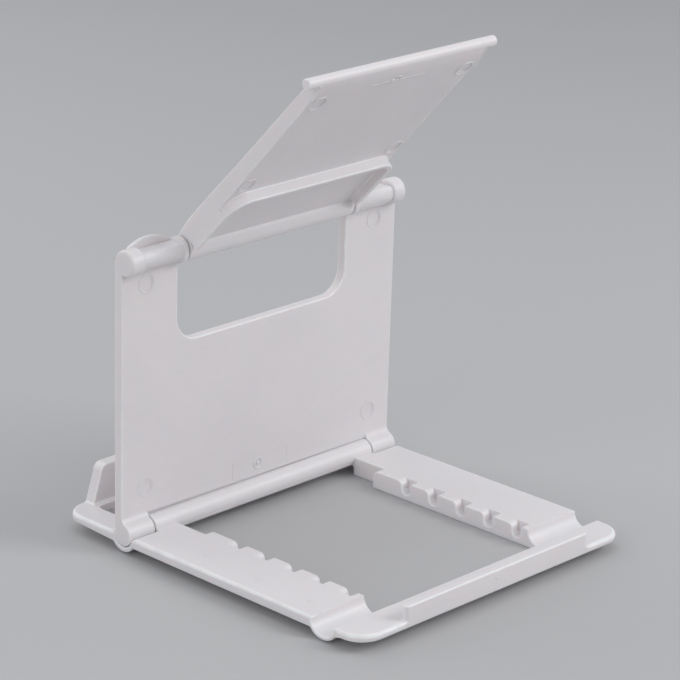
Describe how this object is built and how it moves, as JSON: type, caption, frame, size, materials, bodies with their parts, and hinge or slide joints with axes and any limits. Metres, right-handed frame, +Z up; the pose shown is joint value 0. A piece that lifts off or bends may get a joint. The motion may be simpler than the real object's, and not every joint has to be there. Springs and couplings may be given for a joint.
{
  "type": "folding tablet stand",
  "caption": "Folding plastic tablet stand: notched base frame with front hooks, windowed back plate and a ribbed support leg on two hinges.",
  "frame": {"origin": "on the table, under the middle of the base frame", "axes": "+Z up, +Y to the rear, from the device ledge to the crossbar, +X along the hinge pins"},
  "size_m": [0.113, 0.1294, 0.154],
  "materials": {
    "base_plastic": "satin moulded white",
    "plate_plastic": "satin moulded white",
    "leg_plastic": "satin moulded white",
    "pin_steel": "drawn wire"
  },
  "bodies": {
    "base": {"base_frame": "base_plastic"},
    "plate": {"back_plate": "plate_plastic", "lower_hinge_pin": "pin_steel", "upper_hinge_pin": "pin_steel"},
    "leg": {"support_leg": "leg_plastic"}
  },
  "joints": [
    {"name": "plate_hinge", "type": "hinge", "parent": "base", "child": "plate", "pos_m": [0, -0.0364, 0.006], "axis": [-1, 0, 0], "range_deg": [-35, 75]},
    {"name": "leg_hinge", "type": "hinge", "parent": "plate", "child": "leg", "pos_m": [0, -0.03351, 0.09165], "axis": [-1, 0, 0], "range_deg": [-43.8, 136]}
  ]
}
